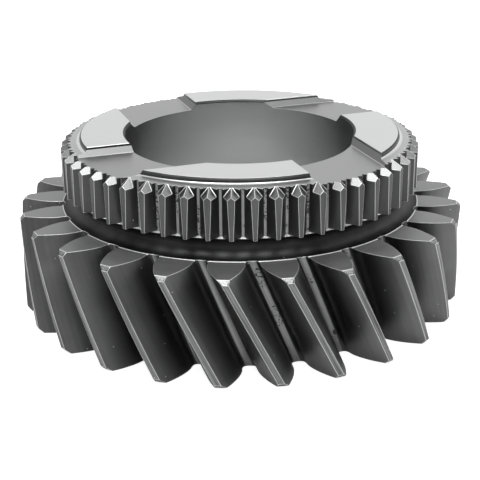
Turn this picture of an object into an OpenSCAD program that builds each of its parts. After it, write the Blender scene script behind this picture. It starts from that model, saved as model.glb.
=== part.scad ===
// Transmission gear of a lorry gearbox: helical running gear with a clutch ring on top.
// Turned, hobbed and pointed from one forging, so it is one piece.
// The axis is +Z, the lower end face lies on z = 0 and -Y faces the viewer.
// All lengths in mm, all angles in degrees.

/* [Helical gear] */
// number of helical teeth
gear_teeth = 25; // [24:1:30]
// module across the tooth, in its normal section
normal_module = 5; // [4.8:0.1:5.6]
// pressure angle in the normal section
pressure_angle = 22.5; // [20:0.5:24]
// helix angle at the pitch circle, left hand
helix_angle = 25; // [22:1:31]
// width of the toothed rim
face_width = 35; // [28:1:45]
// tooth height above the pitch circle
addendum = 6.05; // [4.5:0.05:6.2]
// tooth depth below the pitch circle
dedendum = 9.25; // [7.5:0.05:9.6]
// thinning of each tooth on the pitch circle
tooth_thinning = 0.28; // [0:0.02:0.5]
// radius where the flank runs into the root
root_fillet = 1.8; // [1:0.1:1.9]
// chamfer on the tooth tips at both end faces
tip_chamfer = 1.4; // [0.5:0.1:2.5]
// angle of one helical tooth on the lower face, from the -Y axis
gear_phase = 9.55; // [0:0.05:14]

/* [Clutch ring] */
// number of clutch teeth
dog_teeth = 54; // [48:1:56]
// diameter over the clutch teeth
dog_tip_d = 120; // [118:0.5:122]
// diameter at the foot of the clutch teeth
dog_root_d = 113.2; // [111.6:0.2:114]
// height of the clutch teeth at their tips, from underside to ridge
dog_height = 13.75; // [10:0.25:18]
// width of the tip land below the roof point
dog_land_top = 2.3; // [1.8:0.1:2.8]
// width of the tip land at the underside, the teeth are back-tapered
dog_land_bottom = 1.16; // [0.8:0.02:1.7]
// width of the land between two clutch teeth
dog_gap_root = 0.8; // [0.5:0.05:1.1]
// fall of the roof ridge towards the tip
ridge_slope = 29; // [24:1:32]
// fall of the two roof facets to each side of the ridge
roof_slope = 40.4; // [34:0.2:46]
// angle in plan of the short walls behind the roof facets
roof_wall_angle = 31.5; // [26:0.5:36]
// angle of one clutch tooth, from the -Y axis
dog_phase = -2.5; // [-3.3:0.1:3.3]

/* [Neck groove] */
// height of the groove between rim and clutch teeth
neck_width = 6; // [5:0.25:8]
// depth of the round groove below the clutch tip diameter
neck_depth = 4.4; // [3.6:0.1:5]

/* [Bore] */
// bore for the needle bearing
bore_d = 77; // [70:0.5:80]
// chamfer on both ends of the bore
bore_chamfer = 0.7; // [0.3:0.1:1.2]

/* [Thrust face] */
// diameter of the raised thrust face
pad_d = 107; // [104:0.5:108]
// height of the thrust face above the ridge tips
pad_rise = 3.75; // [3.3:0.05:5]
// step down from the thrust face to the ring around it
pad_step = 1.7; // [1.4:0.1:2.4]
// edge chamfer around the thrust face
pad_chamfer = 0.5; // [0.2:0.1:0.8]
// fillet at the foot of the thrust face
ring_fillet = 0.8; // [0.4:0.1:0.8]
// number of oil slots across the thrust face
slot_count = 4; // [3:1:4]
// width of one slot
slot_width = 28.9; // [20:0.1:29.5]
// offset of the near slot wall from the axis
slot_offset = 3.4; // [2:0.1:6]
// depth of the slots
slot_depth = 2.7; // [2:0.1:3.2]
// straight upper part of the slot walls, the rest is at 45 degrees
slot_wall = 0.85; // [0.4:0.05:1.2]
// direction of the first slot, from the +X axis
slot_angle = 19.3; // [0:0.1:45]

/* [Hidden] */
// cutters reach this far past what they cut
over = 1;
// the ring around the thrust face falls by this much towards the clutch tips
ring_fall = 0.52;
// the neck groove undercuts rim and clutch teeth by this much
neck_ease = 0.1;
// the involute starts this far outside the root fillet
flank_start = 0.2;
// the two roof cutters of one clutch tooth overlap by this much at its ridge
ridge_lap = 0.3;
// and those of one gap by this much at its middle
gap_lap = 0.15;
// the walls behind the roof facets meet this far inside the foot circle
wall_lead = 0.5;
// the foot of the clutch ring stays this far inside the helical roots
foot_lead = 0.4;
// steps of one involute flank, of one root fillet, of the helix and of the ring fillet
flank_steps = 3;
fillet_steps = 2;
rim_slices = 4;
ring_steps = 3;

pitch_r = normal_module * gear_teeth / cos(helix_angle) / 2;
tip_r = pitch_r + addendum;
root_r = pitch_r - dedendum;
trans_angle = atan(tan(pressure_angle) / cos(helix_angle));
base_r = pitch_r * cos(trans_angle);
gear_pitch = 360 / gear_teeth;
// turn of the helix over the width of the rim
rim_turn = deg(tan(helix_angle) / pitch_r) * face_width;

dog_tip_r = dog_tip_d / 2;
dog_root_r = dog_root_d / 2;
dog_pitch = 360 / dog_teeth;
dog_half = dog_pitch / 2;
neck_mid = face_width + neck_width / 2;
neck_top = face_width + neck_width;
ridge_z = neck_top + dog_height;
top_z = ridge_z + pad_rise;
ring_z = top_z - pad_step;
pad_r = pad_d / 2;
bore_r = bore_d / 2;
slot_z = top_z - slot_depth;

// the groove is round and meets rim and clutch teeth close to the tip circle of the latter
neck_half = neck_width / 2 + neck_ease;
neck_r = (neck_depth * neck_depth + neck_half * neck_half) / (2 * neck_depth);
neck_axis = dog_tip_r - neck_depth + neck_r;

// where the two walls behind one ridge meet
wall_apex = dog_root_r - wall_lead;
// fall of the roof facet from the ridge to the shoulder of the tip land
shoulder_fall = tan(roof_slope) * dog_land_top / 2;

$fn = 96;

function deg(radians) = radians * 180 / PI;
function inv(angle) = deg(tan(angle)) - angle;
function polar(r, a) = [r * cos(a), r * sin(a)];
function flipped(pts) = [for (i = [len(pts) - 1:-1:0]) [pts[i].x, -pts[i].y]];

// half angle of one helical tooth on the pitch circle
tooth_half = deg((PI * normal_module / cos(helix_angle) / 2 - tooth_thinning) / pitch_r) / 2;

// half angle of the space between two helical teeth at radius r
function space_half(r) =
    gear_pitch / 2 - tooth_half - inv(trans_angle) + inv(acos(min(1, base_r / r)));

// one side of the space, from the middle of its root to beyond the tip
function space_side() =
    let (
        foot = space_half(base_r),
        centre_r = root_r + root_fillet,
        centre_a = foot - asin(root_fillet / centre_r),
        centre = polar(centre_r, centre_a),
        arc_start = centre_a + 180,
        arc_end = foot + 90,
        low = max(base_r, sqrt(centre_r * centre_r - root_fillet * root_fillet) + flank_start),
        high = tip_r + over
    )
    concat(
        [for (i = [0:fillet_steps])
            centre + polar(root_fillet, arc_start + (arc_end - arc_start) * i / fillet_steps)],
        [for (i = [0:flank_steps])
            let (r = low + (high - low) * i / flank_steps)
            polar(r, space_half(r))]
    );

// section across all helical teeth, their tips still too long
module teeth_section() {
    side = space_side();
    space = concat(flipped(side), [[root_r, 0]], side);
    first = gear_phase - 90 + gear_pitch / 2;
    polygon([
        for (i = [0:gear_teeth - 1], p = space)
            let (a = first + i * gear_pitch)
            [p.x * cos(a) - p.y * sin(a), p.x * sin(a) + p.y * cos(a)]
    ]);
}

// what the toothed rim is turned down to: tip circle and chamfers
module rim_blank() {
    cone = tip_chamfer + over;
    rotate_extrude()
        polygon([
            [0, -over],
            [tip_r - cone, -over],
            [tip_r, tip_chamfer],
            [tip_r, face_width - tip_chamfer],
            [tip_r - cone, face_width + over],
            [0, face_width + over]
        ]);
}

// rim with its helical teeth
module rim() {
    intersection() {
        linear_extrude(height = face_width, twist = rim_turn, slices = rim_slices, $fn = 12)
            teeth_section();
        rim_blank();
    }
}

// turned body of the clutch ring, its foot stands inside the rim
module ring_blank() {
    foot_r = min(neck_axis, root_r - foot_lead);
    rotate_extrude()
        polygon(concat(
            [
                [0, face_width / 2],
                [foot_r, face_width / 2],
                [foot_r, neck_mid],
                [dog_tip_r, neck_mid],
                [dog_tip_r, ring_z - ring_fall]
            ],
            [for (i = [0:ring_steps])
                [pad_r + ring_fillet, ring_z + ring_fillet] + polar(ring_fillet, 270 - 90 * i / ring_steps)],
            [
                [pad_r, top_z - pad_chamfer],
                [pad_r - pad_chamfer, top_z],
                [0, top_z]
            ]
        ));
}

// half width of a clutch gap at radius r, for a tip land of the given width
function gap_half(r, land) =
    let (
        edge = dog_tip_r * sin(dog_half) - land / 2 * cos(dog_half),
        edge_x = dog_tip_r * cos(dog_half) + land / 2 * sin(dog_half)
    )
    dog_gap_root / 2 + (edge - dog_gap_root / 2) * (r - dog_root_r) / (edge_x - dog_root_r);

// cutter for one gap between two clutch teeth, wider at its lower end
module gap_cutter() {
    out_r = dog_tip_r + over;
    low_z = neck_top;
    high_z = ring_z + over;
    rise = (high_z - low_z) / (dog_height - shoulder_fall);
    land_high = dog_land_bottom + (dog_land_top - dog_land_bottom) * rise;
    low_w = gap_half(out_r, dog_land_bottom);
    high_w = gap_half(out_r, land_high);
    root_w = dog_gap_root / 2;
    polyhedron(
        points = [
            [dog_root_r, -root_w, low_z],
            [out_r, -low_w, low_z],
            [out_r, low_w, low_z],
            [dog_root_r, root_w, low_z],
            [dog_root_r, -root_w, high_z],
            [out_r, -high_w, high_z],
            [out_r, high_w, high_z],
            [dog_root_r, root_w, high_z]
        ],
        faces = [
            [0, 1, 2, 3],
            [7, 6, 5, 4],
            [1, 0, 4, 5],
            [3, 2, 6, 7],
            [0, 3, 7, 4],
            [2, 1, 5, 6]
        ]
    );
}

// height of the roof facet in the frame of its own tooth
function roof_z(x, side) = ridge_z - tan(ridge_slope) * (x - dog_tip_r) - tan(roof_slope) * side;

// a point on the roof facet, turned from the frame of the tooth into the frame of the gap
function roof_point(x, side) =
    [
        x * cos(dog_half) + side * sin(dog_half),
        x * sin(dog_half) - side * cos(dog_half),
        roof_z(x, side)
    ];

// cutter that points one flank of one clutch tooth
module roof_cutter() {
    out_r = dog_tip_r + over;
    top = top_z + over;
    inner_mid = wall_apex * sin(dog_half) / (cos(dog_half) - tan(roof_wall_angle) * sin(dog_half)) + gap_lap;
    outer_mid = out_r * tan(dog_half) + gap_lap;
    base = [
        roof_point(wall_apex - ridge_lap * tan(roof_wall_angle), -ridge_lap),
        roof_point(wall_apex + inner_mid * tan(roof_wall_angle), inner_mid),
        roof_point(out_r, outer_mid),
        roof_point(out_r, -ridge_lap)
    ];
    polyhedron(
        points = concat(base, [for (p = base) [p.x, p.y, top]]),
        faces = [
            [0, 1, 2, 3],
            [7, 6, 5, 4],
            [1, 0, 4, 5],
            [2, 1, 5, 6],
            [3, 2, 6, 7],
            [0, 3, 7, 4]
        ]
    );
}

// one cutter for each space of the clutch ring
module around_dogs() {
    for (i = [0:dog_teeth - 1])
        rotate([0, 0, dog_phase - 90 + dog_half + i * dog_pitch])
            children();
}

// clutch ring with its pointed, back-tapered teeth
module clutch_ring() {
    difference() {
        difference() {
            difference() {
                ring_blank();
                around_dogs() gap_cutter();
            }
            around_dogs() roof_cutter();
        }
        around_dogs() mirror([0, 1, 0]) roof_cutter();
    }
}

// round groove turned between the rim and the clutch ring
module neck_groove() {
    rotate_extrude()
        translate([neck_axis, neck_mid])
            circle(r = neck_r);
}

// bore with a chamfer at both ends
module bore() {
    mouth_r = bore_r + bore_chamfer + over;
    rotate_extrude()
        polygon([
            [0, -over],
            [mouth_r, -over],
            [bore_r, bore_chamfer],
            [bore_r, top_z - bore_chamfer],
            [mouth_r, top_z + over],
            [0, top_z + over]
        ]);
}

// slots milled outwards from the bore through the thrust face
module oil_slots() {
    slope = slot_depth - slot_wall;
    for (i = [0:slot_count - 1])
        rotate([0, 0, slot_angle + i * 360 / slot_count])
            translate([0, slot_offset, 0])
                rotate([90, 0, 90])
                    linear_extrude(height = dog_tip_r + over)
                        polygon([
                            [slope, slot_z],
                            [slot_width - slope, slot_z],
                            [slot_width, slot_z + slope],
                            [slot_width, top_z + over],
                            [0, top_z + over],
                            [0, slot_z + slope]
                        ]);
}

// the whole gear, the teeth of both rings stand on one forging
module gear() {
    color([0.42, 0.43, 0.45])
        difference() {
            union() {
                rim();
                clutch_ring();
            }
            bore();
            neck_groove();
            oil_slots();
        }
}

gear();
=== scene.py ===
# %% [markdown]
# The frame. The imported model of the transmission gear is loaded first.

# %% The frame
import bpy, bmesh, math
from math import radians, sin, cos, tan, pi, sqrt, asin, acos, atan, atan2, degrees
from mathutils import Vector, Matrix


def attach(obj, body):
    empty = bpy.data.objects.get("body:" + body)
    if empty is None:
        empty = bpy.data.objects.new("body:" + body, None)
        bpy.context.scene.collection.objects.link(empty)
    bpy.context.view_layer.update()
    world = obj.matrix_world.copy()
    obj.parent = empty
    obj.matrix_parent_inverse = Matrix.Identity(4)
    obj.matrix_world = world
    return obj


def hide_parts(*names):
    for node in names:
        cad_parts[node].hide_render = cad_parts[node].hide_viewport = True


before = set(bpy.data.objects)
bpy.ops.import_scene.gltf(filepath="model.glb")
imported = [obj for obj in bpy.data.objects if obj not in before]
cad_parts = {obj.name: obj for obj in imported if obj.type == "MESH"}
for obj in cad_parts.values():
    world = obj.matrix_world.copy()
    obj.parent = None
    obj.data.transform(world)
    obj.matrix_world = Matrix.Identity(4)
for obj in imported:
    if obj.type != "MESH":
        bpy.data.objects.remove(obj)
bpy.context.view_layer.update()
MM = 0.001

# %% [markdown]
# The sizes of the gear, in millimetres, as in the part's source. A designer keeps these in
# one table, because the tooth forms below all follow from them.

# %% Sizes
TEETH, MODULE, PRESSURE, HELIX, WIDTH = 25, 5.0, 22.5, 25.0, 35.0
ADDENDUM, DEDENDUM, THINNING, ROOT_FILLET, TIP_CHAMFER, GEAR_PHASE = 6.05, 9.25, 0.28, 1.8, 1.4, 9.55
DOGS, DOG_TIP_R, DOG_ROOT_R, DOG_HEIGHT = 54, 60.0, 56.6, 13.75
LAND_TOP, LAND_BOTTOM, GAP_ROOT = 2.3, 1.16, 0.8
RIDGE_SLOPE, ROOF_SLOPE, WALL_ANGLE, DOG_PHASE = 29.0, 40.4, 31.5, -2.5
NECK_WIDTH, NECK_DEPTH, NECK_EASE = 6.0, 4.4, 0.1
BORE_R, BORE_CHAMFER, PAD_R, PAD_CHAMFER, RING_FILLET = 38.5, 0.7, 53.5, 0.5, 0.8
PAD_RISE, PAD_STEP, RING_FALL = 3.75, 1.7, 0.52
SLOTS, SLOT_WIDTH, SLOT_OFFSET, SLOT_DEPTH, SLOT_WALL, SLOT_ANGLE = 4, 28.9, 3.4, 2.7, 0.85, 19.3

pitch_r = MODULE * TEETH / cos(radians(HELIX)) / 2
tip_r, root_r = pitch_r + ADDENDUM, pitch_r - DEDENDUM
trans = atan(tan(radians(PRESSURE)) / cos(radians(HELIX)))
base_r = pitch_r * cos(trans)
gear_pitch = 2 * pi / TEETH
rim_turn = tan(radians(HELIX)) / pitch_r * WIDTH
neck_mid, neck_top = WIDTH + NECK_WIDTH / 2, WIDTH + NECK_WIDTH
ridge_z = neck_top + DOG_HEIGHT
top_z = ridge_z + PAD_RISE
ring_top = top_z - PAD_STEP
neck_half = NECK_WIDTH / 2 + NECK_EASE
neck_r = (NECK_DEPTH ** 2 + neck_half ** 2) / (2 * NECK_DEPTH)
neck_axis = DOG_TIP_R - NECK_DEPTH + neck_r
print("pitch radius", round(pitch_r, 3), "tip", round(tip_r, 3), "root", round(root_r, 3), "height", top_z)

# %% [markdown]
# The camera stands in front of the gear and looks down at it by a little over 21 degrees.
# Its place, tilt and lens come from a fit to the ellipses and tooth corners of the photo.

# %% Camera
pitch, yaw, roll = 0.3771, -0.0004, -0.0098
fwd = Vector((sin(yaw) * cos(pitch), cos(yaw) * cos(pitch), -sin(pitch)))
right = Vector((cos(yaw), -sin(yaw), 0))
up = right.cross(fwd)
right2 = cos(roll) * right + sin(roll) * up
up2 = cos(roll) * up - sin(roll) * right
cam_data = bpy.data.cameras.new("camera")
cam_data.sensor_width = 36
cam_data.lens = 1118.0 / 480 * 36
cam_data.clip_start, cam_data.clip_end = 0.01, 50
cam = bpy.data.objects.new("camera", cam_data)
bpy.context.scene.collection.objects.link(cam)
turn = Matrix((right2, up2, -fwd)).transposed().to_4x4()
cam.matrix_world = Matrix.Translation(Vector((0, -364.5, 162.3)) * MM) @ turn
bpy.context.scene.camera = cam
print("camera at", [round(x, 4) for x in cam.location], "lens", round(cam_data.lens, 2))

# %% [markdown]
# The finishes. One steel forging shows several machined surfaces, so the finishes share a
# builder: a metal with fine tool marks that run round the axis, along the helix, along the
# clutch teeth or at random. The marks change tone, roughness and height, and slow patches lie
# over them. Tiny bright nicks and small dark pits sit on top, as on a used gear. Some tones are
# painted light: the flank darkens towards the tooth roots and the neck and wall tones are
# near-black, as painted shade, and the edge tone is bright, as a painted highlight. All of it
# reads Object coordinates, so it stays put on the metal.

# %% Finishes
def node(nt, kind, **values):
    n = nt.nodes.new(kind)
    for k, v in values.items():
        if k in n.inputs:
            n.inputs[k].default_value = v
        else:
            setattr(n, k, v)
    return n


def steel(name, tone, rough, marks="round", grain=900.0, bump=0.10, nicks=0.0, pits=0.0, patch=0.10, painted_root_shade=None, lines=0.45):
    mat = bpy.data.materials.new(name)
    mat.use_nodes = True
    nt = mat.node_tree
    nt.nodes.clear()
    link = nt.links.new
    out = node(nt, "ShaderNodeOutputMaterial")
    bsdf = node(nt, "ShaderNodeBsdfPrincipled")
    bsdf.inputs["Metallic"].default_value = 1.0
    coord = node(nt, "ShaderNodeTexCoord")
    sep = node(nt, "ShaderNodeSeparateXYZ")
    link(coord.outputs["Object"], sep.inputs[0])

    def calc(op, a, b=None):
        m = node(nt, "ShaderNodeMath", operation=op)
        for i, v in enumerate((a, b)):
            if v is None:
                continue
            if isinstance(v, (int, float)):
                m.inputs[i].default_value = v
            else:
                link(v, m.inputs[i])
        return m.outputs[0]

    def span(value, low, high, to_low, to_high):
        m = node(nt, "ShaderNodeMapRange")
        link(value, m.inputs["Value"])
        for key, v in (("From Min", low), ("From Max", high), ("To Min", to_low), ("To Max", to_high)):
            m.inputs[key].default_value = v
        return m.outputs[0]

    def blend(factor, a, b):
        m = node(nt, "ShaderNodeMix", data_type="RGBA")
        link(factor, m.inputs["Factor"])
        link(a, m.inputs["A"])
        m.inputs["B"].default_value = (*b, 1)
        return m.outputs["Result"]

    x, y, z = sep.outputs
    radius = calc("SQRT", calc("ADD", calc("MULTIPLY", x, x), calc("MULTIPLY", y, y)))
    angle = calc("ARCTAN2", y, x)
    comb = node(nt, "ShaderNodeCombineXYZ")
    if marks == "round":
        parts = (calc("MULTIPLY", radius, grain), calc("MULTIPLY", z, grain), calc("MULTIPLY", angle, 1.2))
    elif marks == "helix":
        lead = calc("ADD", calc("MULTIPLY", angle, 0.068), calc("MULTIPLY", z, tan(radians(HELIX))))
        parts = (calc("MULTIPLY", radius, grain * 0.5), calc("MULTIPLY", lead, grain * 0.5),
                 calc("MULTIPLY", z, grain * 0.01))
    elif marks == "axial":
        parts = (calc("MULTIPLY", radius, grain * 0.4), calc("MULTIPLY", angle, 0.06 * grain),
                 calc("MULTIPLY", z, grain * 0.05))
    else:
        parts = [calc("MULTIPLY", v, grain) for v in (x, y, z)]
    for i, v in enumerate(parts):
        link(v, comb.inputs[i])
    fine = node(nt, "ShaderNodeTexNoise", Scale=1.0, Detail=4.0, Roughness=0.6)
    link(comb.outputs[0], fine.inputs["Vector"])
    slow = node(nt, "ShaderNodeTexNoise", Scale=55.0, Detail=5.0, Roughness=0.6)
    link(coord.outputs["Object"], slow.inputs["Vector"])
    mixed = calc("ADD", calc("MULTIPLY", slow.outputs["Fac"], 1 - lines), calc("MULTIPLY", fine.outputs["Fac"], lines))

    ramp = node(nt, "ShaderNodeValToRGB")
    ramp.color_ramp.elements[0].position, ramp.color_ramp.elements[1].position = 0.35, 0.65
    ramp.color_ramp.elements[0].color = (*[c * (1 - patch) for c in tone], 1)
    ramp.color_ramp.elements[1].color = (*[min(1.0, c * (1 + patch)) for c in tone], 1)
    link(mixed, ramp.inputs[0])
    colour = ramp.outputs[0]
    roughness = span(mixed, 0.3, 0.7, rough * 0.85, min(1.0, rough * 1.18))
    height = fine.outputs["Fac"]

    # Painted shade: the colour darkens towards a quarter of the tone at low radius, between the teeth.
    if painted_root_shade:
        low, high, share = painted_root_shade
        colour = blend(span(radius, low, high, share, 0.0), colour, [c * 0.25 for c in tone])
    if pits:
        grit = node(nt, "ShaderNodeTexNoise", Scale=1500.0, Detail=2.0)
        where = node(nt, "ShaderNodeTexNoise", Scale=130.0, Detail=3.0)
        for n in (grit, where):
            link(coord.outputs["Object"], n.inputs["Vector"])
        spot = calc("MULTIPLY", span(grit.outputs["Fac"], 0.60 - 0.07 * pits, 0.65 - 0.07 * pits, 0.0, 1.0),
                    span(where.outputs["Fac"], 0.66 - 0.14 * pits, 0.70 - 0.14 * pits, 0.0, 1.0))
        colour = blend(spot, colour, [c * 0.22 for c in tone])
        height = calc("SUBTRACT", height, calc("MULTIPLY", spot, 2.0))
        roughness = calc("ADD", roughness, calc("MULTIPLY", spot, 0.25))
    if nicks:
        cells = node(nt, "ShaderNodeTexVoronoi", Scale=310.0, Randomness=1.0)
        link(coord.outputs["Object"], cells.inputs["Vector"])
        lot = node(nt, "ShaderNodeSeparateColor")
        link(cells.outputs["Color"], lot.inputs[0])
        spot = calc("MULTIPLY", calc("LESS_THAN", cells.outputs["Distance"], 0.060),
                    calc("GREATER_THAN", lot.outputs[0], 1.0 - 0.40 * nicks))
        colour = blend(spot, colour, (0.85, 0.85, 0.86))

    link(colour, bsdf.inputs["Base Color"])
    link(roughness, bsdf.inputs["Roughness"])
    b = node(nt, "ShaderNodeBump", Strength=bump, Distance=0.00005)
    link(height, b.inputs["Height"])
    link(b.outputs[0], bsdf.inputs["Normal"])
    link(bsdf.outputs[0], out.inputs[0])
    mat.diffuse_color = (*tone, 1)
    return mat


def grey(v):
    return (v * 0.99, v, v * 0.995)


FINISH = {
    # The flank darkens towards the tooth roots: painted shade.
    "flank": steel("steel_flank", grey(0.22), 0.40, "helix", 1400, 0.20, 0.9, 0.0, 0.16, (0.0605, 0.073, 0.60)),
    "land": steel("steel_tip_land", grey(0.27), 0.42, "helix", 4200, 0.30, 0.3, 0.0, 0.60, lines=0.9),
    "chamfer": steel("steel_tip_chamfer", grey(0.28), 0.44, "random", 2600, 0.25, 0.0, 0.3, 0.45, lines=0.9),
    "face": steel("steel_end_face", grey(0.35), 0.50, "round", 2600, 0.20, 0.5, 0.0, 0.06),
    # The near-black neck tone is painted shade in the groove and along the bore's top edge.
    "neck": steel("steel_neck_painted_shade", grey(0.062), 0.48, "round", 1600, 0.30, 0.2, 0.0, 0.50, lines=0.25),
    # The bright edge tone is a painted highlight on rounded edges and corner strips.
    "edge": steel("steel_edge_painted_highlight", grey(0.78), 0.46, "random", 900, 0.05),
    "ground": steel("steel_ground", grey(0.79), 0.32, "random", 2600, 0.05, 0.0, 0.0, 0.03),
    "ring": steel("steel_turned_ring", grey(0.55), 0.34, "round", 2600, 0.12, 0.2, 0.0, 0.06),
    # The near-black wall tone is painted shade on upright walls.
    "wall": steel("steel_wall_painted_shade", grey(0.075), 0.30, "round", 1500, 0.20, 1.4, 0.0, 0.15),
    "slope": steel("steel_slot_slope", grey(0.21), 0.40, "random", 1800, 0.10, 0.0, 0.0, 0.08),
    "dog": steel("steel_clutch_flank", grey(0.12), 0.38, "axial", 1400, 0.15, 0.3, 0.0, 0.10),
    "dogland": steel("steel_clutch_land", grey(0.15), 0.42, "axial", 2600, 0.25, 0.4, 0.0, 0.30),
    "gap": steel("steel_clutch_root", grey(0.38), 0.45, "axial", 2600, 0.30, 0.6, 1.2, 0.30),
    "roof": steel("steel_roof", grey(0.23), 0.36, "random", 1200, 0.08, 0.3, 0.0, 0.18),
    "slot": steel("steel_slot_floor", grey(0.43), 0.36, "random", 2000, 0.06, 0.1, 0.0, 0.05),
    "bore": steel("steel_bore", grey(0.70), 0.20, "round", 2400, 0.015, 0.1, 0.0, 0.02),
    "root": steel("steel_root", grey(0.34), 0.40, "helix", 4000, 0.25, 0.2, 0.75, 0.30, lines=0.7),
}
ORDER = list(FINISH)
print(len(ORDER), "finishes:", ", ".join(ORDER))

# %% [markdown]
# Mesh helpers. A sector of one pitch is written as points and faces, and a Geometry Nodes
# tree copies it round the axis. Its inputs are the number of copies and the first angle.
# The copies are realised and their shared borders merged, which gives one closed skin.

# %% Helpers
def mesh_from(name, points, faces):
    me = bpy.data.meshes.new(name)
    me.from_pydata([[c * MM for c in p] for p in points], [], [f[0] for f in faces])
    for key in ORDER:
        me.materials.append(FINISH[key])
    me.polygons.foreach_set("material_index", [ORDER.index(f[1]) for f in faces])
    me.update()
    return me


def ring_tree():
    gt = bpy.data.node_groups.new("copies_round_axis", "GeometryNodeTree")
    face = gt.interface
    face.new_socket("Geometry", in_out="INPUT", socket_type="NodeSocketGeometry")
    face.new_socket("Copies", in_out="INPUT", socket_type="NodeSocketInt")
    face.new_socket("First Angle", in_out="INPUT", socket_type="NodeSocketFloat")
    face.new_socket("Merge Distance", in_out="INPUT", socket_type="NodeSocketFloat")
    face.new_socket("Geometry", in_out="OUTPUT", socket_type="NodeSocketGeometry")
    n = gt.nodes
    a, z = n.new("NodeGroupInput"), n.new("NodeGroupOutput")
    pts = n.new("GeometryNodePoints")
    inst = n.new("GeometryNodeInstanceOnPoints")
    idx = n.new("GeometryNodeInputIndex")
    div = n.new("ShaderNodeMath"); div.operation = "DIVIDE"
    mul = n.new("ShaderNodeMath"); mul.operation = "MULTIPLY_ADD"
    mul.inputs[1].default_value = 2 * pi
    xyz = n.new("ShaderNodeCombineXYZ")
    real = n.new("GeometryNodeRealizeInstances")
    weld = n.new("GeometryNodeMergeByDistance")
    L = gt.links.new
    L(a.outputs["Copies"], pts.inputs["Count"])
    L(idx.outputs[0], div.inputs[0])
    L(a.outputs["Copies"], div.inputs[1])
    L(div.outputs[0], mul.inputs[0])
    L(a.outputs["First Angle"], mul.inputs[2])
    L(mul.outputs[0], xyz.inputs[2])
    L(pts.outputs[0], inst.inputs["Points"])
    L(a.outputs["Geometry"], inst.inputs["Instance"])
    L(xyz.outputs[0], inst.inputs["Rotation"])
    L(inst.outputs[0], real.inputs[0])
    L(real.outputs[0], weld.inputs["Geometry"])
    L(a.outputs["Merge Distance"], weld.inputs["Distance"])
    L(weld.outputs[0], z.inputs[0])
    return gt


RING = ring_tree()
SHARP = ({"wall"}, {"wall", "dog"}, {"neck"}, {"neck", "wall"})


def put(me, name):
    ob = bpy.data.objects.new(name, me)
    bpy.context.scene.collection.objects.link(ob)
    return ob


def settle(ob):
    """Apply what the modifiers make and leave a plain mesh."""
    deps = bpy.context.evaluated_depsgraph_get()
    me = bpy.data.meshes.new_from_object(ob.evaluated_get(deps), preserve_all_data_layers=True, depsgraph=deps)
    ob.modifiers.clear()
    old, ob.data = ob.data, me
    bpy.data.meshes.remove(old)
    return ob


def ring_of(sector, name, copies, first):
    ob = put(sector, name)
    mod = ob.modifiers.new("copies", "NODES")
    mod.node_group = RING
    ids = {s.name: s.identifier for s in RING.interface.items_tree if s.in_out == "INPUT"}
    mod[ids["Copies"]] = copies
    mod[ids["First Angle"]] = first
    mod[ids["Merge Distance"]] = 2e-6
    settle(ob)
    me = ob.data
    if len(me.materials) == 0:
        for key in ORDER:
            me.materials.append(FINISH[key])
    bm = bmesh.new()
    bm.from_mesh(me)
    bmesh.ops.recalc_face_normals(bm, faces=bm.faces)
    loose = sum(1 for e in bm.edges if len(e.link_faces) != 2)
    bm.to_mesh(me)
    bm.free()
    print(name, "faces", len(me.polygons), "open edges", loose)
    return ob


def round_edges(ob, width, least=22.0, only=None):
    """Round the outer edges in the bright edge tone, a painted highlight; inner corners and the edges of the dark
    walls and of the neck stay sharp, without it.
    """
    bm = bmesh.new()
    bm.from_mesh(ob.data)
    layer = bm.edges.layers.float.get("bevel_weight_edge") or bm.edges.layers.float.new("bevel_weight_edge")
    count = 0
    for e in bm.edges:
        names = {ORDER[f.material_index] for f in e.link_faces}
        outer = len(e.link_faces) == 2 and e.calc_face_angle_signed() > radians(least)
        e[layer] = 1.0 if outer and (names == only if only else names not in SHARP) else 0.0
        count += e[layer] > 0
    bm.to_mesh(ob.data)
    bm.free()
    mod = ob.modifiers.new("edges", "BEVEL")
    mod.limit_method = "WEIGHT"
    mod.width = width * MM
    mod.segments = 2
    mod.use_clamp_overlap = False
    # Painted highlight: the rounded faces take the bright edge tone.
    mod.material = ORDER.index("edge")
    mod.loop_slide = True
    settle(ob)
    print(ob.name, "rounded edges", count, "faces now", len(ob.data.polygons))


def shade(ob, angle=24.0):
    me = ob.data
    me.polygons.foreach_set("use_smooth", [True] * len(me.polygons))
    me.set_sharp_from_angle(angle=radians(angle))
    mod = ob.modifiers.new("normals", "WEIGHTED_NORMAL")
    mod.mode = "FACE_AREA"
    mod.weight = 50
    mod.keep_sharp = True
    settle(ob)

# %% [markdown]
# The helical rim. The tooth form is an involute with a rounded root, cut to the tip circle.
# On the real gear a hob rolls it out. Here the outline of one pitch is computed and turned
# from slice to slice along the helix, and the tips are chamfered towards both end faces.
# At the top the face runs down into the neck groove, so the roots break its bright edge.

# %% Helical rim
def inv(a):
    return tan(a) - a


tooth_half = (pi * MODULE / cos(radians(HELIX)) / 2 - THINNING) / pitch_r / 2


def space_half(r):
    return gear_pitch / 2 - tooth_half - inv(trans) + inv(acos(min(1.0, base_r / r)))


foot = space_half(base_r)
centre_r = root_r + ROOT_FILLET
centre_a = foot - asin(ROOT_FILLET / centre_r)
fillet_end = sqrt(centre_r ** 2 - ROOT_FILLET ** 2)


def tooth_angle(r):
    """Half angle of the tooth at radius r, from its centre line."""
    if r <= root_r:
        s = centre_a
    elif r < fillet_end:
        s = centre_a + acos(min(1.0, (r * r + centre_r ** 2 - ROOT_FILLET ** 2) / (2 * r * centre_r)))
    else:
        s = space_half(max(r, base_r))
    return gear_pitch / 2 - s


def neck_low(r):
    """Height of the lower half of the round neck groove at radius r."""
    return neck_mid - sqrt(max(0.0, neck_r ** 2 - (r - neck_axis) ** 2))


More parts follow.
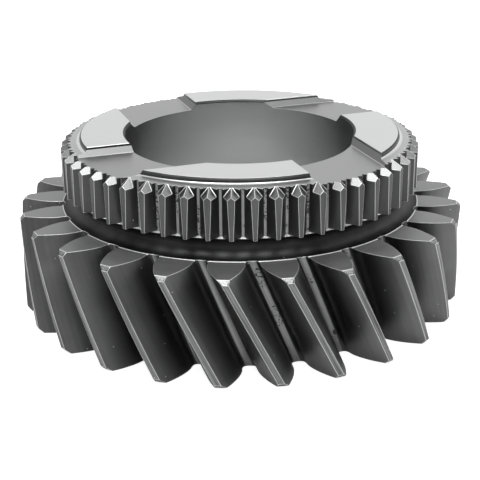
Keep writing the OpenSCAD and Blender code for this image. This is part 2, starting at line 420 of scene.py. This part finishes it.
rim_edge = neck_axis + sqrt(neck_r ** 2 - (NECK_WIDTH / 2) ** 2)
inner_edge = neck_axis - sqrt(neck_r ** 2 - (NECK_WIDTH / 2) ** 2)
seam_r, hidden_r = root_r - 0.08, 57.0
LIP = 0.18
lip_r = rim_edge + 0.22
rows = sorted([root_r, root_r + 0.12, 59.98, rim_edge, lip_r, lip_r + LIP, fillet_end, base_r + 0.4])
rows += [rows[-1] + (tip_r - rows[-1]) * i / 10 for i in range(1, 11)]
print("rows of the flank from", round(rows[0], 2), "to", round(rows[-1], 2), "fillet ends at", round(fillet_end, 2))
COLS = 8
slices = [0.0, TIP_CHAMFER] + [TIP_CHAMFER + (WIDTH - 2 * TIP_CHAMFER) * i / 22 for i in range(1, 22)]
slices += [WIDTH - TIP_CHAMFER, WIDTH]


def rim_sector():
    pts, faces, index = [], [], {}

    def point(r, a, z):
        key = (round(r, 5), round(a, 7), round(z, 5))
        if key not in index:
            index[key] = len(pts)
            t = a - rim_turn * z / WIDTH
            pts.append((r * cos(t), r * sin(t), z))
        return index[key]

    def tip_at(z):
        return min(tip_r, tip_r - TIP_CHAMFER + z, tip_r - TIP_CHAMFER + WIDTH - z)

    def squeeze(r, z):
        low = tip_r - 5
        return r if r <= low else low + (r - low) * (tip_at(z) - low) / (tip_r - low)

    def top_of(r, z):
        if z < WIDTH:
            return z
        return neck_low(r) if r < rim_edge - 1e-6 else z - LIP * min(1.0, max(0.0, (r - lip_r) / LIP))

    def outline(z):
        left, right_side = [], []
        for r in rows:
            rr = squeeze(r, z)
            h = tooth_angle(rr)
            left.append(point(rr, -h, top_of(rr, z)))
            right_side.append(point(rr, h, top_of(rr, z)))
        rt = squeeze(rows[-1], z)
        h = tooth_angle(rt)
        land = [point(rt, -h + 2 * h * i / COLS, top_of(rt, z)) for i in range(1, COLS)]
        a0 = point(root_r, -gear_pitch / 2, top_of(root_r, z))
        a1 = point(root_r, gear_pitch / 2, top_of(root_r, z))
        return [a0] + left + land + right_side[::-1] + [a1]

    loops = [outline(z) for z in slices]
    n = len(loops[0])
    first = len(rows) + 1
    for level, (lo, hi) in enumerate(zip(loops, loops[1:])):
        tip = "chamfer" if level in (0, len(loops) - 2) else "land"
        for i in range(n - 1):
            k = min(i, n - 2 - i)
            if level == len(loops) - 2 and first - 1 <= k <= first:
                continue
            mat = tip if k > len(rows) - 1 else ("root" if k < 2 else "flank")
            faces.append(((lo[i], lo[i + 1], hi[i + 1], hi[i]), mat))
        if level == len(loops) - 2:
            # the upper tip chamfer narrows downwards between two corner facets in the dark neck tone
            for a, b, c in ((first - 1, first, first + 1), (n - first, n - first - 1, n - first - 2)):
                faces.append(((lo[a], lo[b], lo[c], hi[a]), "neck"))
                faces.append(((hi[a], lo[c], hi[c], hi[b]), "chamfer"))

    def arc(r, z, h):
        return [point(r, -h + 2 * h * i / COLS, top_of(r, z)) for i in range(COLS + 1)]

    for z in (0.0, WIDTH):
        grid = [arc(squeeze(r, z), z, tooth_angle(squeeze(r, z))) for r in rows]
        for j in range(len(rows) - 1):
            mat = "neck" if z and rows[j + 1] <= rim_edge + 1e-6 else "face"
            for i in range(COLS):
                faces.append(((grid[j][i], grid[j][i + 1], grid[j + 1][i + 1], grid[j + 1][i]), mat))
        h = tooth_angle(root_r)
        angles = [-gear_pitch / 2] + [-h + 2 * h * i / COLS for i in range(COLS + 1)] + [gear_pitch / 2]
        inner = seam_r if z else hidden_r
        outer_row = [point(root_r, a, top_of(root_r, z)) for a in angles]
        inner_row = [point(inner, a, top_of(inner, z)) for a in angles]
        for i in range(len(angles) - 1):
            faces.append(((inner_row[i], inner_row[i + 1], outer_row[i + 1], outer_row[i]), "neck" if z else "face"))
        if z:
            top_in = inner_row
        else:
            low_in = inner_row
    shelf = [point(hidden_r, a, WIDTH - 1) for a in angles]
    for i in range(len(angles) - 1):
        faces.append(((shelf[i], shelf[i + 1], top_in[i + 1], top_in[i]), "neck"))
        faces.append(((low_in[i], low_in[i + 1], shelf[i + 1], shelf[i]), "neck"))
    return mesh_from("rim_sector", pts, faces)


rim = ring_of(rim_sector(), "helical_rim", TEETH, radians(GEAR_PHASE - 90))
round_edges(rim, 0.14, 24)
shade(rim)

# %% [markdown]
# The clutch ring and the turned body. One sector carries one dog tooth: two back-tapered
# flanks, a narrow tip land, two roof facets with a ridge that falls outwards, and the short
# walls that the pointing cutter leaves behind them. The rest of the sector is the profile
# that a lathe turns: ring, pad edge, thrust face, bore, lower face and the round neck.

# %% Clutch ring and turned body
dog_half = pi / DOGS
ROOT = Vector((DOG_ROOT_R * cos(dog_half) + GAP_ROOT / 2 * sin(dog_half), DOG_ROOT_R * sin(dog_half) - GAP_ROOT / 2 * cos(dog_half)))
wall_apex = DOG_ROOT_R - 0.5
STRIP, RUN_OUT, FOOT_STEP = 0.2, 0.36, 0.25
shoulder_z = ridge_z - tan(radians(ROOF_SLOPE)) * LAND_TOP / 2


def half_land(z):
    return (LAND_BOTTOM + (LAND_TOP - LAND_BOTTOM) * (z - neck_top) / (shoulder_z - neck_top)) / 2


def tip_x(z):
    return sqrt(DOG_TIP_R ** 2 - half_land(z) ** 2)


def flank_t(x, z):
    f = (x - ROOT.x) / (tip_x(z) - ROOT.x)
    return ROOT.y + (half_land(z) - ROOT.y) * f


def ring_at(r):
    return ring_top - RING_FALL * (r - PAD_R - RING_FILLET) / (DOG_TIP_R - PAD_R - RING_FILLET)


def facet_at(x, t):
    return ridge_z + tan(radians(RIDGE_SLOPE)) * (DOG_TIP_R - x) - tan(radians(ROOF_SLOPE)) * t


def wall_x(t):
    return wall_apex + tan(radians(WALL_ANGLE)) * t


def on_wall_and_flank(z_of):
    z = shoulder_z
    for _ in range(40):
        lo, hi = 0.5, 3.2
        for _ in range(50):
            t = (lo + hi) / 2
            if flank_t(wall_x(t), z) > t:
                lo = t
            else:
                hi = t
        z = z_of(wall_x(t), t)
    return (wall_x(t), t, z)


def neck_high(r):
    return neck_mid + sqrt(max(0.0, neck_r ** 2 - (r - neck_axis) ** 2))


def solve(f, lo, hi):
    for _ in range(60):
        m = (lo + hi) / 2
        if (f(lo) > 0) == (f(m) > 0):
            lo = m
        else:
            hi = m
    return (lo + hi) / 2


def dog_sector():
    pts, faces, index = [], [], {}

    def P(x, t, z):
        key = (round(x, 5), round(t, 5), round(z, 5))
        if key not in index:
            index[key] = len(pts)
            pts.append((x, t, z))
        return index[key]

    def polar(r, a, z):
        return P(r * cos(a), r * sin(a), z)

    def add(loop, mat):
        faces.append((tuple(loop), mat))

    # where the flank leaves the inner edge of the neck
    foot_x = solve(lambda x: sqrt(x * x + flank_t(x, neck_top) ** 2) - inner_edge, DOG_ROOT_R, DOG_TIP_R)
    foot_a = atan2(flank_t(foot_x, neck_top), foot_x) + FOOT_STEP / inner_edge
    A = [-dog_half, -foot_a, -foot_a / 2, 0.0, foot_a / 2, foot_a, dog_half]
    in_r = PAD_R + RING_FILLET + 0.3
    D = on_wall_and_flank(facet_at)
    T = on_wall_and_flank(lambda x, t: ring_at(sqrt(x * x + t * t)))
    sx = solve(lambda x: facet_at(x, 0) - ring_at(x), 56.0, 59.9)
    vt = solve(lambda t: facet_at(wall_x(t), t) - ring_at(sqrt(wall_x(t) ** 2 + t * t)), 0.0, 2.0)
    V = (wall_x(vt), vt, ring_at(sqrt(wall_x(vt) ** 2 + vt * vt)))
    S = P(sx, 0, ring_at(sx))
    tip = P(DOG_TIP_R, 0, ridge_z)
    levels = [44.0, 47.0, 50.0, 52.2]
    under = [(58.2, neck_high(58.2)), (neck_axis, neck_high(neck_axis)), (59.5, neck_high(59.5))]
    tip_low = neck_high(DOG_TIP_R)
    inner = [polar(in_r, a, ring_at(in_r)) for a in A]
    neck_row = [polar(inner_edge, a, neck_top) for a in A]
    for s in (1, -1):
        side = (lambda x, t, z: P(x, s * t, z))
        gap_top = polar(DOG_ROOT_R, s * dog_half, ring_at(DOG_ROOT_R))
        gap_low = polar(DOG_ROOT_R, s * dog_half, neck_top + RUN_OUT)
        Dv, Vv, Tv = Vector(D), Vector(V), Vector(T)
        Sv, Cv = Vector((sx, 0, ring_at(sx))), Vector((tip_x(shoulder_z), LAND_TOP / 2, shoulder_z))
        root_top = side(ROOT.x, ROOT.y, ring_at(ROOT.length))
        root_low = side(ROOT.x, ROOT.y, neck_top + RUN_OUT)
        t = side(*T)
        d1, d2 = side(*Dv.lerp(Tv, STRIP / (Tv - Dv).length)), side(*Dv.lerp(Cv, STRIP / (Cv - Dv).length))
        v1, v2 = side(*Vv.lerp(Tv, STRIP / (Tv - Vv).length)), side(*Vv.lerp(Sv, STRIP / (Sv - Vv).length))
        shoulder = side(tip_x(shoulder_z), LAND_TOP / 2, shoulder_z)
        row_in = inner[3:] if s == 1 else inner[3::-1]
        foot_p = neck_row[5] if s == 1 else neck_row[1]
        edge_p = neck_row[6] if s == 1 else neck_row[0]
        add(row_in + [gap_top, root_top, t, v1, v2, S], "ring")
        roots = [root_low] + [side(ROOT.x, ROOT.y, z) for z in levels] + [root_top]
        gaps = [gap_low] + [polar(DOG_ROOT_R, s * dog_half, z) for z in levels] + [gap_top]
        for i in range(len(roots) - 1):
            add([gaps[i], roots[i], roots[i + 1], gaps[i + 1]], "gap")
        add([root_low, foot_p, edge_p, gap_low], "edge")
        low = [foot_p] + [side(x, flank_t(x, z), z) for x, z in under]
        tip_b = side(tip_x(tip_low), half_land(tip_low), tip_low)
        tips = [tip_b] + [side(tip_x(z), half_land(z), z) for z in levels]
        add([root_low, low[1], foot_p], "edge")
        add([root_low, roots[1], tips[1]] + [tip_b] + low[:0:-1], "dog")
        for i in range(1, len(levels)):
            add([roots[i], roots[i + 1], tips[i + 1], tips[i]], "dog")
        add([roots[-2], root_top, t, d1, d2, shoulder, tips[-1]], "dog")
        add([S, v2, d2, shoulder, tip], "roof")
        # Painted highlight: a bright strip along the inner corner of roof and wall.
        add([v2, v1, d1, d2], "edge")
        # Painted shade: the short wall behind the roof is near-black.
        add([v1, t, d1], "wall")
        if s == 1:
            keep = (low, tips, shoulder)
        else:
            low2, tips2, shoulder2 = low, tips, shoulder
    low, tips, shoulder = keep
    for i in range(len(tips) - 1):
        add([tips[i], tips2[i], tips2[i + 1], tips[i + 1]], "dogland")
    add([tips[-1], tips2[-1], shoulder2, tip, shoulder], "dogland")
    add(neck_row[1:6] + [low[1], low2[1]], "neck")
    for i in range(1, len(low) - 1):
        add([low[i], low2[i], low2[i + 1], low[i + 1]], "neck")
    add([low[-1], low2[-1], tips2[0], tips[0]], "neck")

    # the turned profile, from the ring inwards, down the bore and up to the neck
    # Painted shade: the upper fillet and the pad's upright wall take the near-black wall tone, and the pad chamfer,
    # the bore's top chamfer and a 0.3 mm band below it take the dark neck tone.
    fillet = [(PAD_R + RING_FILLET - RING_FILLET * sin(radians(b)), ring_top + RING_FILLET - RING_FILLET * cos(radians(b)), "ground" if b < 60 else "wall")
              for b in (0, 18, 36, 54, 72, 90)]
    profile = [(in_r, ring_at(in_r), "ring")] + fillet + [
        (PAD_R, top_z - PAD_CHAMFER, "wall"), (PAD_R - PAD_CHAMFER, top_z, "neck"),
        (BORE_R + BORE_CHAMFER, top_z, "ground"), (BORE_R, top_z - BORE_CHAMFER, "neck"),
        (BORE_R, top_z - BORE_CHAMFER - 0.3, "neck"), (BORE_R, BORE_CHAMFER, "bore"), (BORE_R + BORE_CHAMFER, 0, "edge"),
        (hidden_r, 0, "face"), (hidden_r, WIDTH - 1, "neck"), (seam_r, WIDTH - 1, "neck"),
        (seam_r, neck_low(seam_r), "neck")]
    a0 = atan2(neck_low(seam_r) - neck_mid, seam_r - neck_axis)
    a1 = atan2(neck_top - neck_mid, inner_edge - neck_axis) - 2 * pi
    steps = 22
    for i in range(1, steps):
        b = a0 + (a1 - a0) * i / steps
        profile.append((neck_axis + neck_r * cos(b), neck_mid + neck_r * sin(b), "neck"))
    profile.append((inner_edge, neck_top, "neck"))
    last = [polar(profile[0][0], a, profile[0][1]) for a in A]
    for r, z, mat in profile[1:]:
        row = [polar(r, a, z) for a in A]
        for i in range(len(A) - 1):
            add([last[i], last[i + 1], row[i + 1], row[i]], mat)
        last = row
    print("dog facet corner", [round(c, 2) for c in D], "ridge starts at", round(sx, 2))
    return mesh_from("dog_sector", pts, faces)


body = ring_of(dog_sector(), "clutch_body", DOGS, radians(DOG_PHASE - 90))
round_edges(body, 0.10, 24)

# %% [markdown]
# The oil slots. A cutter mills four wide slots past the bore and through the thrust face.
# They lie like the blades of a pinwheel, run out over the ring and clip the ridges of the
# clutch teeth in their path. Their upper edges are broken by a small chamfer in the bright
# edge tone, a painted highlight.

# %% Oil slots
def slot_cutter():
    low, break_edge, past = top_z - SLOT_DEPTH, 0.16, 0.8
    slope = SLOT_DEPTH - SLOT_WALL
    w = SLOT_WIDTH
    f = 0.16
    loop = [(slope + f, low), (w - slope - f, low), (w - slope + f, low + f), (w, low + slope),
            (w, top_z - break_edge), (w + break_edge + past, top_z + past),
            (-break_edge - past, top_z + past), (0, top_z - break_edge), (0, low + slope), (slope - f, low + f)]
    # One upright side of each slot takes the near-black wall tone, painted shade; the broken edges take the bright
    # edge tone, a painted highlight.
    mats = ["slot", "ring", "slope", "slope", "edge", "slot", "edge", "wall", "slope", "ring"]
    pts = [(x, SLOT_OFFSET + y, z) for x in (0.0, DOG_TIP_R + 2) for y, z in loop]
    n = len(loop)
    faces = [(tuple(range(n)), "slot"), (tuple(range(2 * n - 1, n - 1, -1)), "slot")]
    for i in range(n):
        j = (i + 1) % n
        faces.append(((i, i + n, j + n, j), mats[i]))
    return mesh_from("slot_cutter", pts, faces)


cutters = ring_of(slot_cutter(), "slot_cutters", SLOTS, radians(SLOT_ANGLE))
mod = body.modifiers.new("slots", "BOOLEAN")
mod.operation, mod.solver, mod.object = "DIFFERENCE", "EXACT", cutters
settle(body)
bpy.data.objects.remove(cutters)
round_edges(body, 0.12, 40, {"slot", "bore"})
shade(body)
print("clutch body faces after the slots", len(body.data.polygons))

# %% [markdown]
# The studio. The gear stands on a white sweep that is bright behind it and at both sides,
# dimmer overhead and dimmest on the side of the viewer. Bare steel shows what it mirrors, so
# the upright walls turn to gunmetal and the flat faces stay light; the near-black neck and wall
# tones add painted shade to that. The floor's colour is darker in front, painted shade that the
# steel mirrors. Three soft lamps add shape.

# %% Studio
def emitter(name, size, place, target, power):
    data = bpy.data.lights.new(name, "AREA")
    data.shape, data.size, data.size_y, data.energy = "RECTANGLE", size[0], size[1], power
    ob = bpy.data.objects.new(name, data)
    bpy.context.scene.collection.objects.link(ob)
    ob.location = place
    ob.rotation_euler = (Vector(target) - Vector(place)).to_track_quat("-Z", "Y").to_euler()
    return ob


emitter("light_top", (1.1, 0.9), (-0.1, -0.45, 1.38), (0, 0, 0.05), 17)
emitter("light_left", (1.2, 1.2), (-1.05, 0.05, 1.05), (0, 0, 0.05), 1)
emitter("light_right", (1.2, 1.2), (1.05, 0.15, 1.05), (0, 0, 0.05), 4)


def camera_mix(nt, lit, seen, out, share):
    """White for the camera and through glass; metal mirrors a share of that white."""
    path = nt.nodes.new("ShaderNodeLightPath")
    metal = node(nt, "ShaderNodeMath", operation="MULTIPLY_ADD")
    metal.inputs[1].default_value = share
    nt.links.new(path.outputs["Is Glossy Ray"], metal.inputs[0])
    nt.links.new(path.outputs["Is Camera Ray"], metal.inputs[2])
    total = node(nt, "ShaderNodeMath", operation="ADD", use_clamp=True)
    nt.links.new(metal.outputs[0], total.inputs[0])
    nt.links.new(path.outputs["Is Transmission Ray"], total.inputs[1])
    mix = nt.nodes.new("ShaderNodeMixShader")
    nt.links.new(total.outputs[0], mix.inputs[0])
    nt.links.new(lit.outputs[0], mix.inputs[1])
    nt.links.new(seen.outputs[0], mix.inputs[2])
    nt.links.new(mix.outputs[0], out.inputs[0])


world = bpy.data.worlds.new("studio")
bpy.context.scene.world = world
world.use_nodes = True
nt = world.node_tree
nt.nodes.clear()
where = nt.nodes.new("ShaderNodeTexCoord")
axes = nt.nodes.new("ShaderNodeSeparateXYZ")
nt.links.new(where.outputs["Generated"], axes.inputs[0])


def ramp_of(nt, value, low, high, stops):
    m = node(nt, "ShaderNodeMapRange")
    m.inputs["From Min"].default_value, m.inputs["From Max"].default_value = low, high
    nt.links.new(value, m.inputs["Value"])
    r = nt.nodes.new("ShaderNodeValToRGB")
    r.color_ramp.interpolation = "B_SPLINE"
    while len(r.color_ramp.elements) < len(stops):
        r.color_ramp.elements.new(0.5)
    for e, (at, level) in zip(r.color_ramp.elements, stops):
        e.position = at
        e.color = (level, level, level, 1)
    nt.links.new(m.outputs[0], r.inputs[0])
    return r.outputs[0]


depth = ramp_of(nt, axes.outputs[1], -1, 1, [(0, 0.18), (0.35, 0.25), (0.6, 0.56), (0.85, 1.0), (1, 1.0)])
lift = ramp_of(nt, axes.outputs[2], 0, 1, [(0, 1.0), (0.3, 1.0), (0.55, 0.62), (1, 0.66)])
across = ramp_of(nt, axes.outputs[0], -0.4, 0.4, [(0, 0.84), (1, 1.0)])
level = depth
for part in (lift, across):
    product = node(nt, "ShaderNodeMix", data_type="RGBA", blend_type="MULTIPLY")
    product.inputs["Factor"].default_value = 1.0
    nt.links.new(level, product.inputs["A"])
    nt.links.new(part, product.inputs["B"])
    level = product.outputs["Result"]
sweep = nt.nodes.new("ShaderNodeBackground")
nt.links.new(level, sweep.inputs[0])
sweep.inputs[1].default_value = 1.0
white = nt.nodes.new("ShaderNodeBackground")
white.inputs[0].default_value, white.inputs[1].default_value = (1, 1, 1, 1), 1.0
camera_mix(nt, sweep, white, nt.nodes.new("ShaderNodeOutputWorld"), 0.15)

floor_mat = bpy.data.materials.new("floor_white")
floor_mat.use_nodes = True
nt = floor_mat.node_tree
nt.nodes.clear()
glow = nt.nodes.new("ShaderNodeEmission")
glow.inputs[0].default_value, glow.inputs[1].default_value = (1, 1, 1, 1), 0.86
cloth = nt.nodes.new("ShaderNodeBsdfDiffuse")
place = nt.nodes.new("ShaderNodeTexCoord")
ahead = nt.nodes.new("ShaderNodeSeparateXYZ")
nt.links.new(place.outputs["Object"], ahead.inputs[0])
# Painted shade: the floor's colour is darker in front, and the steel mirrors it.
nt.links.new(ramp_of(nt, ahead.outputs[1], -0.05, 0.15, [(0, 0.58), (1, 1.0)]), cloth.inputs[0])
bright = nt.nodes.new("ShaderNodeAddShader")
nt.links.new(glow.outputs[0], bright.inputs[0])
nt.links.new(cloth.outputs[0], bright.inputs[1])
camera_mix(nt, cloth, bright, nt.nodes.new("ShaderNodeOutputMaterial"), 0.08)
me = bpy.data.meshes.new("floor")
me.from_pydata([(-4, -4, 0), (4, -4, 0), (4, 4, 0), (-4, 4, 0)], [], [(0, 1, 2, 3)])
me.materials.append(floor_mat)
floor = put(me, "floor")
floor.location.z = -0.0002
bpy.context.scene.view_settings.view_transform = "Standard"
print("studio: white sweep, 3 soft lamps, white floor")

# %% [markdown]
# Hand over. Both pieces ride on the one body and stand for the CAD node, which is hidden.
# The triangles of each piece are counted.

# %% Hand over
for ob in (rim, body):
    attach(ob, "root")
    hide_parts("gear")
triangles = {}
for ob in (rim, body):
    ob.data.calc_loop_triangles()
    triangles[ob.name] = len(ob.data.loop_triangles)
print("triangles", triangles)
